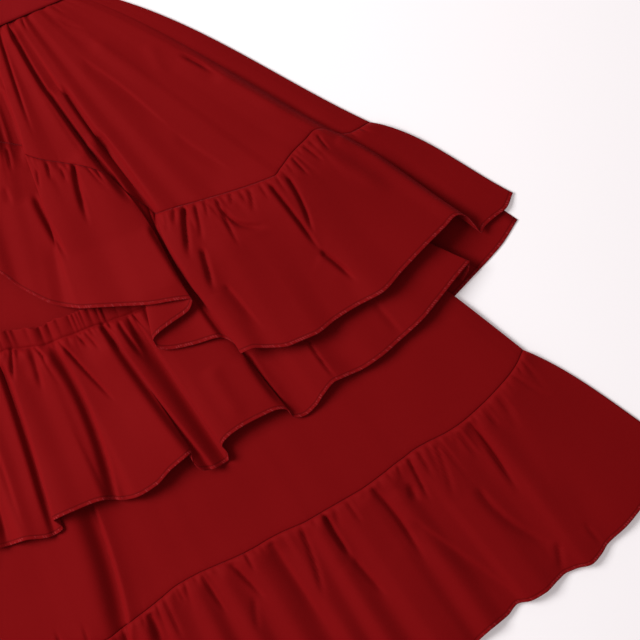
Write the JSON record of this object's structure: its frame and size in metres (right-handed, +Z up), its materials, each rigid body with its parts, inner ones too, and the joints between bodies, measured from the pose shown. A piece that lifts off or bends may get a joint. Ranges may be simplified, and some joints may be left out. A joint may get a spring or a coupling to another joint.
{
  "type": "layered victorian skirt",
  "caption": "Dark red layered skirt laid flat: waistband, swagged overskirt with a gathered ruffle, headed middle ruffle, and a base panel with a deep gathered hem ruffle.",
  "frame": {"origin": "on the surface that the skirt lies on, under the middle of its bounding box", "axes": "+X across the skirt, towards the left side of its wearer, +Y up the skirt towards the waistband, +Z up out of the front"},
  "size_m": [1.1342, 0.8332, 0.0372],
  "materials": {
    "crepe": "smooth fine weave with a faint sheen",
    "band_cloth": "smooth fine weave with a faint sheen, doubled and pressed"
  },
  "bodies": {
    "root": {"waistband": "band_cloth", "overskirt_front": "crepe", "overskirt_ruffle_front": "crepe", "middle_ruffle_front": "crepe", "base_front": "crepe", "base_ruffle_front": "crepe", "overskirt_back": "crepe", "overskirt_ruffle_back": "crepe", "middle_ruffle_back": "crepe", "base_back": "crepe", "base_ruffle_back": "crepe"}
  },
  "joints": []
}
